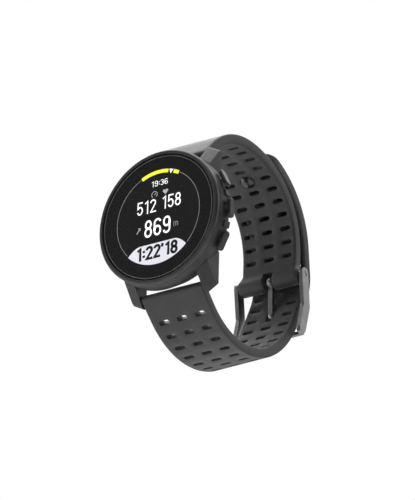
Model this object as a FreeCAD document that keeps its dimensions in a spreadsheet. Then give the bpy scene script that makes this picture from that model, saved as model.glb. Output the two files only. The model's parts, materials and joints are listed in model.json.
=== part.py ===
import FreeCAD, Part
import math
import os
import re

import Sketcher
from FreeCAD import Placement, Rotation, Vector

# GPS running watch, millimetres.  +X points to 3 o'clock (the buttons), -Y out of the display,
# +Z to 12 o'clock.  The origin is the centre of the flat face of the case back, which lies
# against the wrist, so y = 0 there and the bezel's front is at y = -case_depth.

DIMENSIONS = [
    # case, as depths behind the bezel's front plane and radii about the display's axis
    ("case_depth", 10.8), ("bezel_radius", 21.5), ("bezel_bore", 20.2), ("bezel_depth", 1.6),
    ("bezel_edge", 0.5), ("case_radius", 21.4), ("case_straight", 5.8), ("case_foot_radius", 18.6),
    ("cavity_radius", 18.6), ("ledge_front", 8.4), ("ledge_back", 9.1), ("ledge_bore", 14.4),
    ("foot_front", 10.4), ("back_bore", 17.1),
    # crystal, gasket and display
    ("crystal_radius", 19.8), ("crystal_front", 0.12), ("crystal_back", 1.45),
    ("crystal_edge", 0.3), ("gasket_lip_front", 0.4), ("gasket_radius", 20.15),
    ("gasket_bore", 18.9), ("lip_bore", 19.85),
    ("panel_radius", 17.8), ("panel_front", 1.5), ("panel_thick", 0.8),
    ("light_guide_radius", 17.2), ("light_guide_front", 2.35), ("light_guide_thick", 0.4),
    ("frame_radius", 18.45), ("frame_front", 1.75), ("frame_floor_front", 2.85),
    ("frame_back", 3.2), ("frame_window", 12.0), ("frame_bore", 17.9),
    # electronics
    ("antenna_front", 3.24), ("antenna_thick", 0.16), ("antenna_radius", 18.2),
    ("antenna_bore", 16.9), ("antenna_start", 20.0), ("antenna_sweep", 140.0),
    ("chassis_front", 3.45), ("chassis_back", 8.3), ("chassis_radius", 18.3),
    ("chassis_bore", 16.8), ("chassis_gap_from", 15.2), ("chassis_gap_half", 12.6),
    ("board_radius", 16.6), ("board_front", 3.4), ("board_thick", 0.7),
    ("shield_thick", 1.1), ("battery_long", 22.0), ("battery_wide", 18.0),
    ("battery_front", 5.45), ("battery_thick", 2.8), ("battery_corner", 2.0),
    ("battery_shift", 2.0), ("motor_radius", 3.3), ("motor_thick", 2.7), ("motor_drop", 13.0),
    ("sensor_radius", 1.5), ("sensor_reach", 18.4), ("sensor_long", 2.4), ("vent_radius", 0.5),
    ("sensor_front", 6.2),
    # case back and heart rate sensor
    ("back_radius", 17.0), ("back_front", 9.3), ("back_edge", 0.7), ("window_bore", 7.0),
    ("window_radius", 6.95), ("window_front", 9.95), ("window_bulge", 0.35),
    ("window_flat", 5.6), ("groove_bore", 16.2), ("groove_radius", 16.85), ("groove_depth", 0.4),
    ("pulse_board_radius", 7.6), ("pulse_board_front", 8.45), ("pulse_board_thick", 0.5),
    ("lamp_size", 1.3), ("lamp_thick", 0.45), ("lamp_spread", 4.9),
    ("barrier_radius", 3.6), ("barrier_bore", 2.9), ("barrier_thick", 0.85),
    ("contact_radius", 0.85), ("contact_ring", 11.2), ("contact_step", 14.0),
    ("screw_ring", 15.25), ("screw_radius", 0.5), ("screw_head", 0.85),
    ("screw_head_deep", 0.6), ("screw_long", 2.1),
    # buttons, along each button's own radius of the case
    ("button_depth", 5.95), ("button_spread", 27.0), ("button_long", 6.3), ("button_wide", 2.65),
    ("button_inner", 21.9), ("button_outer", 22.95), ("button_corner", 1.1), ("button_edge", 0.45),
    ("stem_radius", 0.6), ("stem_bore", 0.65), ("stem_end", 17.3), ("seal_radius", 1.1),
    ("seal_pocket", 1.15), ("seal_pocket_end", 19.95), ("seal_start", 19.4), ("seal_thick", 0.45),
    ("clip_radius", 1.7), ("clip_start", 18.05), ("clip_thick", 0.3),
    ("spring_radius", 0.85), ("spring_wire", 0.1), ("spring_start", 20.34),
    ("spring_pitch", 0.5), ("spring_pocket", 1.06), ("switch_face", 16.8),
    ("switch_deep", 1.5), ("switch_long", 3.2), ("switch_wide", 2.6),
    ("guard_start", 19.2), ("guard_radius", 21.9), ("guard_long", 2.0), ("guard_wide", 2.4),
    ("guard_angle", 13.5),
    # lugs and spring bars
    ("lug_inner", 11.2), ("lug_thick", 3.9),
    ("pivot_depth", 9.4), ("pivot_height", 21.4), ("tube_radius", 0.9), ("tube_half", 10.7),
    ("tube_bore", 0.55), ("pin_radius", 0.45), ("pin_bore", 0.5), ("pin_reach", 12.6),
    ("pin_start", 7.6), ("pin_slot_half", 0.5), ("lever_place", 7.4), ("lever_long", 2.0),
    ("lever_radius", 0.4), ("bar_spring_radius", 0.38), ("bar_spring_wire", 0.1),
    ("bar_spring_pitch", 0.62), ("bar_spring_long", 5.2),
    # strap: both halves leave their spring bar the same way
    ("strap_thick", 3.0), ("strap_root_width", 22.0), ("strap_tail_width", 19.2),
    ("taper_end", 58.0), ("root_radius", 1.5), ("root_heading", 44.3), ("root_run", 6.6),
    ("shoulder_radius", 24.6),
    ("top_radius", 31.3), ("top_turn", 31.8), ("bend_radius", 22.8), ("bend_turn", 42.5),
    ("drop_radius", 28.0), ("drop_turn", 16.1), ("drop_run", 6.8),
    ("low_radius", 27.7), ("low_turn", 32.7), ("rise_radius", 32.8), ("rise_turn", 33.3),
    ("buckle_run", 10.7), ("wrap_radius", 14.8), ("wrap_turn", 32.0), ("tail_run", 8.3),
    ("tail_radius", 27.1), ("tail_turn", 50.0), ("tip_radius", 32.0), ("tip_turn", 14.0),
    ("slot_long", 3.6), ("slot_wide", 1.4), ("slot_column", 6.45),
    ("upper_row_pitch", 4.47), ("lower_row_pitch", 4.66),
    ("upper_first_row", 22.95), ("upper_rows", 11), ("lower_first_row", 7.6), ("lower_rows", 22),
    # buckle, stud
    ("knuckle_radius", 2.6), ("knuckle_half", 10.5), ("tongue_gap", 3.3),
    ("bar_radius", 0.75), ("bar_half", 12.2), ("arm_inner", 11.1), ("arm_thick", 1.3),
    ("arm_half_width", 1.55), ("arm_over", 0.5), ("arm_top_run", 9.4), ("arm_low_run", 7.5),
    ("arm_heading", -82.3), ("arm_bend_radius", 3.0), ("arm_bend_turn", 20.2),
    ("crossbar_radius", 0.8), ("tongue_width", 1.65), ("tongue_thick", 1.15),
    ("tongue_eye", 1.55), ("tongue_heading", -87.3), ("tongue_top_run", 10.4),
    ("tongue_top_radius", 1.6), ("tongue_top_turn", 55.0), ("tongue_mid_run", 1.9),
    ("tongue_low_radius", 2.0), ("tongue_low_turn", 77.0), ("tongue_low_run", 6.4),
    ("tongue_hole_long", 5.2), ("tongue_hole_wide", 2.7), ("tongue_hole_shift", 0.85),
    ("crossbar_out", 1.05), ("crossbar_drop", 0.9),
    ("stud_neck", 0.58), ("stud_head", 2.2), ("stud_dome", 1.2),
    ("stud_place", 114.7), ("stud_gap", 0.78), ("tongue_row", 13),
]

doc = FreeCAD.newDocument("running_watch")
sheet = doc.addObject("Spreadsheet::Sheet", "Dims")
for row, (alias, number) in enumerate(DIMENSIONS, start=1):
    sheet.set("A%d" % row, alias)
    sheet.set("B%d" % row, str(number))
    sheet.setAlias("B%d" % row, alias)
doc.recompute()

TO_BACK = Rotation(Vector(1, 0, 0), -90)       # turns a primitive's own Z axis to +Y
TO_SIDE = Rotation(Vector(0, 1, 0), 90)        # turns a primitive's own Z axis to +X
BUTTONS = (("upper", 1), ("middle", 0), ("lower", -1))
ENDS = (("upper", 1), ("lower", -1))
made = {}


def bound(expression):
    """Writes a sum of aliases as an expression that reads the sheet."""
    return re.sub(r"[a-z]+(?:_[a-z]+)*", lambda word: "Dims." + word.group(0), expression)


def amount(expression):
    """Works out a sum such as 'case_radius - wall' from the sheet."""
    total, sign = 0.0, 1
    for word in expression.split():
        if word in "+-":
            sign = 1 if word == "+" else -1
        else:
            total += sign * (sheet.get(word) if word[0].isalpha() else float(word))
            sign = 1
    return total


def bind(item, **sizes):
    for name, expression in sizes.items():
        item.setExpression(name.replace("_of_", "."), bound(expression))
    return item


def piece(name, item):
    """Keeps an object as a finished piece of the watch."""
    item.Label = name
    made[name] = item
    return item


def cylinder(name, radius, front, depth, x="0", z="0"):
    """A round bar about the display's axis direction, from a depth behind the bezel's front."""
    item = doc.addObject("Part::Cylinder", name)
    item.Placement = Placement(Vector(), TO_BACK)
    bind(item, Radius=radius, Height=depth)
    bind(item, Placement_of_Base_of_x=x, Placement_of_Base_of_z=z)
    return bind(item, Placement_of_Base_of_y=front + " - case_depth")


def side_cylinder(name, radius, start, reach, depth="case_depth", height="0"):
    """A round bar along +X, from x = start."""
    item = doc.addObject("Part::Cylinder", name)
    item.Placement = Placement(Vector(), TO_SIDE)
    bind(item, Radius=radius, Height=reach, Placement_of_Base_of_x=start)
    return bind(item, Placement_of_Base_of_y=depth + " - case_depth",
                Placement_of_Base_of_z=height)


def block(name, x, front, z, long, thick, tall):
    item = doc.addObject("Part::Box", name)
    bind(item, Length=long, Width=thick, Height=tall)
    bind(item, Placement_of_Base_of_x=x, Placement_of_Base_of_z=z)
    return bind(item, Placement_of_Base_of_y=front + " - case_depth")


def radial_block(name, start, long, wide, tall, angle):
    """A block at the buttons' depth, from a radius outwards, turned about the display's axis."""
    item = doc.addObject("Part::Box", name)
    bind(item, Length=long, Width=wide, Height=tall)
    turn = Rotation(Vector(0, 1, 0), -angle)
    corner = Vector(amount(start), amount("button_depth - case_depth") - amount(wide) / 2,
                    -amount(tall) / 2)
    item.Placement = Placement(turn.multVec(corner), turn)
    return item


def cut(name, base, tool):
    item = doc.addObject("Part::Cut", name)
    item.Base = base
    item.Tool = tool
    return item


def fuse(name, items):
    item = doc.addObject("Part::MultiFuse", name)
    item.Shapes = items
    return item


def ring(name, radius, bore, front, depth):
    outside = cylinder(name + "_outside", radius, front, depth)
    inside = cylinder(name + "_inside", bore, front, depth)
    return cut(name, outside, inside)


def coded(name, shape):
    """A piece whose shape no feature makes directly."""
    item = doc.addObject("Part::Feature", name)
    item.Shape = shape
    return item


def origin_plane(body, role):
    return next(item for item in body.Origin.OriginFeatures if item.Role == role)


def add_sketch(body, name, role):
    sketch = body.newObject("Sketcher::SketchObject", name)
    sketch.AttachmentSupport = [(origin_plane(body, role), "")]
    sketch.MapMode = "FlatFace"
    return sketch


def pin_down(sketch, line, axis, expression):
    """Ties one coordinate of a line's first point to the sheet."""
    value = amount(expression)
    if abs(value) < 1e-9:
        sketch.addConstraint(Sketcher.Constraint("PointOnObject", line, 1,
                                                 -2 if axis == "X" else -1))
        return
    index = sketch.addConstraint(Sketcher.Constraint("Distance" + axis, -1, 1, line, 1, value))
    sketch.setExpression("Constraints[%d]" % index, bound(expression))


def outline(body, name, role, corners):
    """A closed sketch of straight lines whose corners are sums of the sheet's values."""
    sketch = add_sketch(body, name, role)
    points = [Vector(amount(x), amount(y), 0) for x, y in corners]
    count = len(points)
    for index in range(count):
        sketch.addGeometry(Part.LineSegment(points[index], points[(index + 1) % count]))
    for index in range(count):
        sketch.addConstraint(Sketcher.Constraint("Coincident", index, 2, (index + 1) % count, 1))
    for index, (x, y) in enumerate(corners):
        pin_down(sketch, index, "X", x)
        pin_down(sketch, index, "Y", y)
    return sketch


def turned(name, corners):
    """A body of revolution about the display's axis; corners are (radius, depth) sums."""
    body = doc.addObject("PartDesign::Body", name)
    sketch = outline(body, name + "_profile", "XY_Plane",
                     [(radius, depth + " - case_depth") for radius, depth in corners])
    turn = body.newObject("PartDesign::Revolution", name + "_turn")
    turn.Profile = sketch
    turn.ReferenceAxis = (sketch, ["V_Axis"])
    turn.Angle = 360
    doc.recompute()
    return body


def pad(body, sketch, length, offset="0", both_ways=False):
    feature = body.newObject("PartDesign::Pad", sketch.Name + "_pad")
    feature.Profile = sketch
    feature.Midplane = both_ways
    feature.setExpression("Length", bound(length))
    if offset != "0":
        sketch.setExpression("AttachmentOffset.Base.z", bound(offset))
    doc.recompute()
    return feature


def edges_where(shape, wanted):
    return ["Edge%d" % (index + 1) for index, edge in enumerate(shape.Edges) if wanted(edge)]


def ease(body, base, kind, wanted, size):
    """Rounds or bevels the edges of a body's feature that meet a test."""
    feature = body.newObject("PartDesign::" + kind, base.Name + "_" + kind.lower())
    feature.Base = (base, edges_where(base.Shape, wanted))
    feature.setExpression("Radius" if kind == "Fillet" else "Size", bound(size))
    doc.recompute()
    return feature


class Route:
    """A path in the YZ plane of straight runs and tangent arcs; headings turn from +Y to +Z."""

    def __init__(self, y, z, heading):
        self.start = (y, z, math.radians(heading))
        self.spans = []

    def line(self, length):
        self.spans.append((length, 0.0))
        return self

    def arc(self, radius, turn):
        self.spans.append((radius * abs(math.radians(turn)), math.radians(turn)))
        return self

    def length(self):
        return sum(length for length, turn in self.spans)

    def at(self, distance, offset=0.0):
        """The point at a distance along the path, moved to its left, and the heading there."""
        y, z, heading = self.start
        for index, (length, turn) in enumerate(self.spans):
            last = index == len(self.spans) - 1
            step = distance if last else min(distance, length)
            if turn:
                radius = length / turn
                ahead = heading + step / radius
                y += radius * (math.sin(ahead) - math.sin(heading))
                z += radius * (math.cos(heading) - math.cos(ahead))
                heading = ahead
            else:
                y += step * math.cos(heading)
                z += step * math.sin(heading)
            distance -= step
            if distance <= 0:
                break
        return (y - offset * math.sin(heading), z + offset * math.cos(heading), heading)

    def edge(self, first, last, offset):
        ends = [self.at(place, offset) for place in (first, (first + last) / 2, last)]
        start, middle, end = [Vector(y, z, 0) for y, z, heading in ends]
        if abs(ends[0][2] - ends[2][2]) < 1e-9:
            return Part.LineSegment(start, end)
        return Part.Arc(start, middle, end)

    def side(self, offset):
        """The curves of one side of a band along the path, one to each span."""
        curves, distance = [], 0.0
        for length, turn in self.spans:
            curves.append(self.edge(distance, distance + length, offset))
            distance += length
        return curves


def band(name, route, thick, width):
    """A strip of even thickness that follows a route, centred on x = 0."""
    body = doc.addObject("PartDesign::Body", name)
    sketch = add_sketch(body, name + "_profile", "YZ_Plane")
    half = amount(thick) / 2
    left, right = route.side(half), route.side(-half)
    curves = left + right
    first, last = left[0].StartPoint, left[-1].EndPoint
    other_first, other_last = right[0].StartPoint, right[-1].EndPoint
    curves += [Part.LineSegment(last, other_last), Part.LineSegment(other_first, first)]
    sketch.addGeometry(curves)
    for index in range(len(curves)):
        sketch.addConstraint(Sketcher.Constraint("Block", index))
    pad(body, sketch, width, both_ways=True)
    return body


def build_case():
    """The mid case: a turned shell with four lugs, button bores and a vent."""
    shell = turned("case_shell", [
        ("cavity_radius", "bezel_depth"), ("case_radius", "bezel_depth"),
        ("case_radius", "case_straight"), ("case_foot_radius", "foot_front"),
        ("back_bore", "foot_front"), ("back_bore", "ledge_back"),
        ("ledge_bore", "ledge_back"), ("ledge_bore", "ledge_front"),
        ("cavity_radius", "ledge_front")])
    lug_body = doc.addObject("PartDesign::Body", "lug")
    faces = []
    for name, offset, corners in (
            ("lug_inner_face", "lug_inner", (
                ("4.4", "14.0"), ("5.0", "18.4"), ("8.9", "23.4"), ("10.2", "23.9"),
                ("11.2", "23.0"), ("11.1", "12.0"))),
            ("lug_outer_face", "lug_inner + lug_thick", (
                ("4.4", "12.0"), ("5.0", "15.8"), ("9.2", "21.2"), ("10.2", "21.8"),
                ("11.0", "21.0"), ("10.9", "10.8")))):
        sketch = outline(lug_body, name, "YZ_Plane",
                         [(depth + " - case_depth", height) for depth, height in corners])
        sketch.setExpression("AttachmentOffset.Base.z", bound(offset))
        faces.append(sketch)
    loft = lug_body.newObject("PartDesign::AdditiveLoft", "lug_loft")
    loft.Profile = faces[0]
    loft.Sections = [faces[1]]
    loft.Ruled = True
    doc.recompute()
    lugs = [lug_body]
    for name, normal, source in (("lug_left", Vector(1, 0, 0), lug_body),
                                 ("lug_low", Vector(0, 0, 1), lug_body),
                                 ("lug_low_left", Vector(0, 0, 1), None)):
        mirror = doc.addObject("Part::Mirroring", name)
        mirror.Source = source or lugs[1]
        mirror.Normal = normal
        lugs.append(mirror)
    hollow = fuse("case_hollow", [
        cylinder("main_hollow", "cavity_radius", "bezel_depth", "ledge_front - bezel_depth"),
        cylinder("back_hollow", "back_bore", "ledge_back", "case_depth")])
    solid_lugs = cut("lugs_trimmed", fuse("all_lugs", lugs), hollow)
    guards = []
    for name, side in (("guard_upper", 1), ("guard_lower", -1)):
        guards.append(radial_block(name, "guard_start", "guard_radius - guard_start",
                                   "guard_wide", "guard_long", side * amount("guard_angle")))
    cutters = [ring_of("ledge_holes", cylinder("ledge_hole", "screw_radius", "ledge_front - 0.1",
                                               "ledge_back - ledge_front + 0.2",
                                               x="screw_ring"), 4, 45.0),
               side_cylinder("vent_hole", "vent_radius", "- case_radius - 1",
                             "case_radius - cavity_radius + 2", "sensor_front")]
    for name, side in ENDS:
        cutters.append(side_cylinder(name + "_bar_hole", "pin_bore", "- pin_reach - 0.1",
                                     "pin_reach + pin_reach + 0.2", "pivot_depth",
                                     "pivot_height" if side > 0 else "- pivot_height"))
    for name, side in BUTTONS:
        for part, radius, start, reach in (
                ("bore", "stem_bore", "stem_end", "button_inner - stem_end"),
                ("pocket", "seal_pocket", "stem_end", "seal_pocket_end - stem_end"),
                ("well", "spring_pocket", "spring_start - 0.04", "button_inner - spring_start")):
            tool = side_cylinder(name + "_button_" + part, radius, start, reach, "button_depth")
            around = doc.addObject("Part::Compound", name + "_button_" + part + "_turned")
            around.Links = [tool]
            around.Placement = Placement(Vector(), Rotation(Vector(0, 1, 0),
                                                            -side * amount("button_spread")))
            cutters.append(around)
    whole = fuse("case_whole", [shell, solid_lugs] + guards)
    piece("mid_case", cut("mid_case_cut", whole, fuse("case_cutters", cutters)))


def build_front():
    bezel = turned("bezel", [
        ("bezel_bore", "0"), ("bezel_radius - bezel_edge", "0"), ("bezel_radius", "bezel_edge"),
        ("bezel_radius", "bezel_depth"), ("bezel_bore", "bezel_depth")])
    piece("bezel_ring", bezel)
    piece("crystal", turned("crystal_glass", [
        ("0", "crystal_front"), ("crystal_radius - crystal_edge", "crystal_front"),
        ("crystal_radius", "crystal_front + crystal_edge"), ("crystal_radius", "crystal_back"),
        ("0", "crystal_back")]))
    piece("crystal_gasket", turned("gasket", [
        ("lip_bore", "gasket_lip_front"), ("gasket_radius", "gasket_lip_front"),
        ("gasket_radius", "bezel_depth"), ("gasket_bore", "bezel_depth"),
        ("gasket_bore", "crystal_back"), ("lip_bore", "crystal_back")]))
    piece("display_panel", cylinder("panel", "panel_radius", "panel_front", "panel_thick"))
    piece("display_light_guide", cylinder("light_guide", "light_guide_radius",
                                          "light_guide_front", "light_guide_thick"))
    piece("display_frame", turned("frame", [
        ("frame_bore", "frame_front"), ("frame_radius", "frame_front"),
        ("frame_radius", "frame_back"), ("frame_window", "frame_back"),
        ("frame_window", "frame_floor_front"), ("frame_bore", "frame_floor_front")]))


def sector(name, radius, bore, front, thick, start, sweep):
    """Part of a flat ring, from one angle of the dial round to another."""
    parts = []
    for place, size in (("outside", radius), ("inside", bore)):
        item = cylinder(name + "_" + place, size, front, thick)
        item.setExpression("Angle", bound(sweep))
        parts.append(item)
    turned_ring = cut(name, parts[0], parts[1])
    turned_ring.Placement = Placement(Vector(), Rotation(Vector(0, 1, 0), -amount(start)))
    return turned_ring


def build_inside():
    piece("gps_antenna", sector("antenna", "antenna_radius", "antenna_bore", "antenna_front",
                                "antenna_thick", "antenna_start + antenna_sweep",
                                "antenna_sweep"))
    chassis_ring = ring("chassis_ring", "chassis_radius", "chassis_bore", "chassis_front",
                        "chassis_back - chassis_front")
    gap = block("chassis_gap", "chassis_gap_from - 4", "chassis_front - 1", "- chassis_gap_half",
                "8", "chassis_back", "chassis_gap_half + chassis_gap_half")
    sensor_hole = side_cylinder("sensor_hole", "sensor_radius", "- sensor_reach", "sensor_long",
                                "sensor_front")
    piece("inner_chassis", cut("chassis", chassis_ring, fuse("chassis_cutters",
                                                             [gap, sensor_hole])))
    piece("main_board", cylinder("board", "board_radius", "board_front", "board_thick"))
    shields = [block("shield_%d" % index, x, "board_front + board_thick", z, long,
                     "shield_thick", tall)
               for index, (x, z, long, tall) in enumerate((
                   ("- 11.0", "1.0", "10.0", "8.0"), ("1.0", "2.5", "9.0", "7.0"),
                   ("- 8.0", "- 9.0", "14.0", "8.0")))]
    shields_all = doc.addObject("Part::Compound", "shields")
    shields_all.Links = shields
    piece("board_shields", shields_all)
    body = doc.addObject("PartDesign::Body", "battery_body")
    cell = body.newObject("PartDesign::AdditiveBox", "cell")
    bind(cell, Length="battery_long", Width="battery_thick", Height="battery_wide")
    doc.recompute()
    ease(body, cell, "Fillet",
         lambda edge: abs(edge.Length - amount("battery_thick")) < 1e-6, "battery_corner")
    body.Placement = Placement(Vector(-amount("battery_long") / 2 - amount("battery_shift"),
                                      amount("battery_front - case_depth"),
                                      -amount("battery_wide") / 2), Rotation())
    piece("battery", body)
    piece("vibration_motor", cylinder("motor", "motor_radius", "battery_front", "motor_thick",
                                      z="- motor_drop"))
    piece("pressure_sensor", side_cylinder("sensor", "sensor_radius - 0.05", "- sensor_reach",
                                           "sensor_long", "sensor_front"))
    switches = [radial_block(name + "_switch", "switch_face - switch_deep", "switch_deep",
                             "switch_wide", "switch_long", side * amount("button_spread"))
                for name, side in BUTTONS]
    group = doc.addObject("Part::Compound", "switches")
    group.Links = switches
    piece("button_switches", group)


def ring_of(name, source, count, first_angle):
    """Copies of one solid spaced evenly round the display's axis, in one node."""
    group = doc.addObject("Part::Compound", name)
    links = []
    for index in range(count):
        copy = doc.addObject("Part::Compound", "%s_%d" % (name, index))
        copy.Links = [source]
        angle = first_angle + 360.0 * index / count
        copy.Placement = Placement(Vector(), Rotation(Vector(0, 1, 0), -angle))
        links.append(copy)
    group.Links = links
    return group


def build_back():
    cover = turned("cover", [
        ("window_bore", "back_front"), ("back_radius", "back_front"),
        ("back_radius", "case_depth - back_edge"), ("back_radius - back_edge", "case_depth"),
        ("window_bore", "case_depth")])
    groove = ring("gasket_groove", "groove_radius", "groove_bore", "back_front", "groove_depth")
    shank = cylinder("screw_shank", "screw_radius", "case_depth - screw_long", "screw_long",
                     x="screw_ring")
    head = cylinder("screw_top", "screw_head", "case_depth - screw_head_deep - 0.1",
                    "screw_head_deep", x="screw_ring")
    screw = fuse("screw", [shank, head])
    screws = ring_of("screws", screw, 4, 45.0)
    contact = cylinder("contact", "contact_radius", "back_front - 0.1",
                       "case_depth - back_front + 0.1")
    contacts = doc.addObject("Part::Compound", "contacts")
    steps = []
    for index in range(4):
        copy = doc.addObject("Part::Compound", "contact_%d" % index)
        copy.Links = [contact]
        angle = math.radians(-90 + (index - 1.5) * amount("contact_step"))
        reach = amount("contact_ring")
        copy.Placement = Placement(Vector(reach * math.cos(angle), 0, reach * math.sin(angle)),
                                   Rotation())
        steps.append(copy)
    contacts.Links = steps
    piece("case_back", cut("cover_cut", cover, fuse("cover_cutters", [groove, screws, contacts])))
    piece("back_screws", screws)
    piece("charge_contacts", contacts)
    piece("back_gasket", ring("back_seal", "groove_radius - 0.03", "groove_bore + 0.03",
                              "ledge_back", "back_front - ledge_back + groove_depth - 0.02"))
    piece("heart_rate_window", turned("window", [
        ("0", "window_front"), ("window_radius", "window_front"), ("window_radius", "case_depth"),
        ("window_flat", "case_depth + window_bulge"), ("0", "case_depth + window_bulge")]))
    piece("heart_rate_board", cylinder("pulse_board", "pulse_board_radius", "pulse_board_front",
                                       "pulse_board_thick"))
    front = "pulse_board_front + pulse_board_thick"
    lamp = block("lamp", "- 0.65", front, "- 0.65", "lamp_size", "lamp_thick", "lamp_size")
    eye = block("eye", "lamp_spread", front, "- lamp_size", "lamp_size", "lamp_thick",
                "lamp_size + lamp_size")
    group = doc.addObject("Part::Compound", "lamps")
    group.Links = [lamp, ring_of("eyes", eye, 4, 45.0)]
    piece("heart_rate_leds", group)
    piece("light_barrier", ring("barrier", "barrier_radius", "barrier_bore", front,
                                "barrier_thick"))


def coil(wire, radius, pitch, height):
    """A helical spring along Z, swept in about half turns that are joined end to end."""
    count = max(2, round(2 * height / pitch))
    rise = height / count
    helix = Part.makeHelix(pitch, rise, radius)
    start = helix.Edges[0].firstVertex().Point
    ahead = helix.Edges[0].tangentAt(helix.Edges[0].FirstParameter)
    section = Part.Wire(Part.makeCircle(wire, start, ahead))
    stretch = Part.Wire(helix.Edges).makePipeShell([section], True, True)
    spans = []
    for index in range(count):
        span = stretch.copy()
        span.Placement = Placement(Vector(0, 0, index * rise),
                                   Rotation(Vector(0, 0, 1), 360 * index * rise / pitch))
        spans.append(span)
    return spans[0].multiFuse(spans[1:])


def build_button(name, side):
    turn = Placement(Vector(), Rotation(Vector(0, 1, 0), -side * amount("button_spread")))
    depth = amount("button_depth - case_depth")
    body = doc.addObject("PartDesign::Body", name + "_cap_body")
    cap = body.newObject("PartDesign::AdditiveBox", name + "_cap_block")
    bind(cap, Length="button_outer - button_inner", Width="button_wide", Height="button_long")
    doc.recompute()
    thick = amount("button_outer - button_inner")
    rounded = ease(body, cap, "Fillet", lambda edge: abs(edge.Length - thick) < 1e-6,
                   "button_corner")
    ease(body, rounded, "Fillet",
         lambda edge: all(abs(v.X - thick) < 1e-6 for v in edge.Vertexes), "button_edge")
    body.Placement = Placement(Vector(amount("button_inner"), depth - amount("button_wide") / 2,
                                      -amount("button_long") / 2), Rotation())
    stem = side_cylinder(name + "_stem", "stem_radius", "stem_end",
                         "button_inner - stem_end + 0.5", "button_depth")
    whole = fuse(name + "_cap_and_stem", [body, stem])
    seal = cut(name + "_seal_ring",
               side_cylinder(name + "_seal_outside", "seal_radius", "seal_start", "seal_thick",
                             "button_depth"),
               side_cylinder(name + "_seal_inside", "stem_radius", "seal_start", "seal_thick",
                             "button_depth"))
    clip = cut(name + "_clip_ring",
               side_cylinder(name + "_clip_outside", "clip_radius", "clip_start", "clip_thick",
                             "button_depth"),
               side_cylinder(name + "_clip_inside", "stem_radius", "clip_start", "clip_thick",
                             "button_depth"))
    spring = coded(name + "_spring_coil", coil(amount("spring_wire"), amount("spring_radius"),
                                               amount("spring_pitch"),
                                               amount("button_inner - spring_start - 0.32")))
    lie = Placement(Vector(amount("spring_start + 0.16"), depth, 0), TO_SIDE)
    spring.Placement = turn.multiply(lie)
    for item in (whole, seal, clip):
        item.Placement = turn
    piece(name + "_button", whole)
    piece(name + "_button_seal", seal)
    piece(name + "_button_clip", clip)
    piece(name + "_button_spring", spring)


def build_spring_bar(name, side):
    """A quick-release spring bar: a tube, a fixed pin, a pin on a lever, and their spring."""
    height = "pivot_height" if side > 0 else "- pivot_height"
    tube_body = side_cylinder(name + "_tube_body", "tube_radius", "- tube_half",
                              "tube_half + tube_half", "pivot_depth", height)
    tube_hole = side_cylinder(name + "_tube_hole", "tube_bore", "- tube_half",
                              "tube_half + tube_half", "pivot_depth", height)
    slot = block(name + "_tube_slot", "lever_place - pin_slot_half - lever_long",
                 "pivot_depth", height + " - lever_radius - 0.05",
                 "lever_long + pin_slot_half + pin_slot_half", "tube_radius",
                 "lever_radius + lever_radius + 0.1")
    piece(name + "_bar_tube", cut(name + "_tube", tube_body,
                                  fuse(name + "_tube_cutters", [tube_hole, slot])))
    fixed = side_cylinder(name + "_fixed", "pin_radius", "- pin_reach",
                          "pin_reach - pin_start + 2", "pivot_depth", height)
    fixed_collar = side_cylinder(name + "_collar", "tube_bore", "- tube_half + 0.2",
                                 "1", "pivot_depth", height)
    piece(name + "_fixed_pin", fuse(name + "_fixed_all", [fixed, fixed_collar]))
    moving = side_cylinder(name + "_moving", "pin_radius", "lever_place - lever_radius - 0.6",
                           "pin_reach - lever_place + lever_radius + 0.6", "pivot_depth", height)
    lever = cylinder(name + "_lever", "lever_radius", "pivot_depth", "lever_long",
                     x="lever_place", z=height)
    piece(name + "_release_pin", fuse(name + "_release", [moving, lever]))
    spring = coded(name + "_bar_coil", coil(amount("bar_spring_wire"),
                                            amount("bar_spring_radius"),
                                            amount("bar_spring_pitch"),
                                            amount("bar_spring_long")))
    spring.Placement = Placement(Vector(0.8, amount("pivot_depth - case_depth"),
                                        side * amount("pivot_height")), TO_SIDE)
    piece(name + "_bar_spring", spring)


def upper_route():
    return (Route(amount("pivot_depth - case_depth"), amount("pivot_height"),
                  amount("root_heading"))
            .line(amount("root_run"))
            .arc(amount("shoulder_radius"), -amount("root_heading"))
            .arc(amount("top_radius"), -amount("top_turn"))
            .arc(amount("bend_radius"), -amount("bend_turn"))
            .arc(amount("drop_radius"), -amount("drop_turn"))
            .line(amount("drop_run")))


def lower_route():
    return (Route(amount("pivot_depth - case_depth"), -amount("pivot_height"),
                  -amount("root_heading"))
            .line(amount("root_run"))
            .arc(amount("shoulder_radius"), amount("root_heading"))
            .arc(amount("low_radius"), amount("low_turn"))
            .arc(amount("rise_radius"), amount("rise_turn"))
            .line(amount("buckle_run"))
            .arc(amount("wrap_radius"), amount("wrap_turn"))
            .line(amount("tail_run"))
            .arc(amount("tail_radius"), amount("tail_turn"))
            .arc(amount("tip_radius"), amount("tip_turn")))


def slot_tool(long, wide, route, place, column, turned=0.0):
    """An oblong cutter through the strap, square to it and lying across it unless turned."""
    deep = 3 * amount("strap_thick")
    straight = long - wide
    core = Part.makeBox(straight, wide, deep, Vector(-straight / 2, -wide / 2, -deep / 2))
    ends = [Part.makeCylinder(wide / 2, deep, Vector(x, 0, -deep / 2), Vector(0, 0, 1))
            for x in (-straight / 2, straight / 2)]
    tool = core.multiFuse(ends).removeSplitter()
    y, z, heading = route.at(place)
    tool.Placement = Placement(Vector(column, y, z),
                               Rotation(Vector(1, 0, 0), math.degrees(heading))
                               * Rotation(Vector(0, 0, 1), turned))
    return tool


def strap_slots(route, first, pitch, rows, special=()):
    """Every oblong hole of one strap half: rows of three."""
    tools = []
    for row in range(rows):
        for column in (-amount("slot_column"), 0.0, amount("slot_column")):
            if (row, column) in special:
                continue
            tools.append(slot_tool(amount("slot_long"), amount("slot_wide"), route,
                                   first + row * pitch, column))
    return tools


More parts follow.
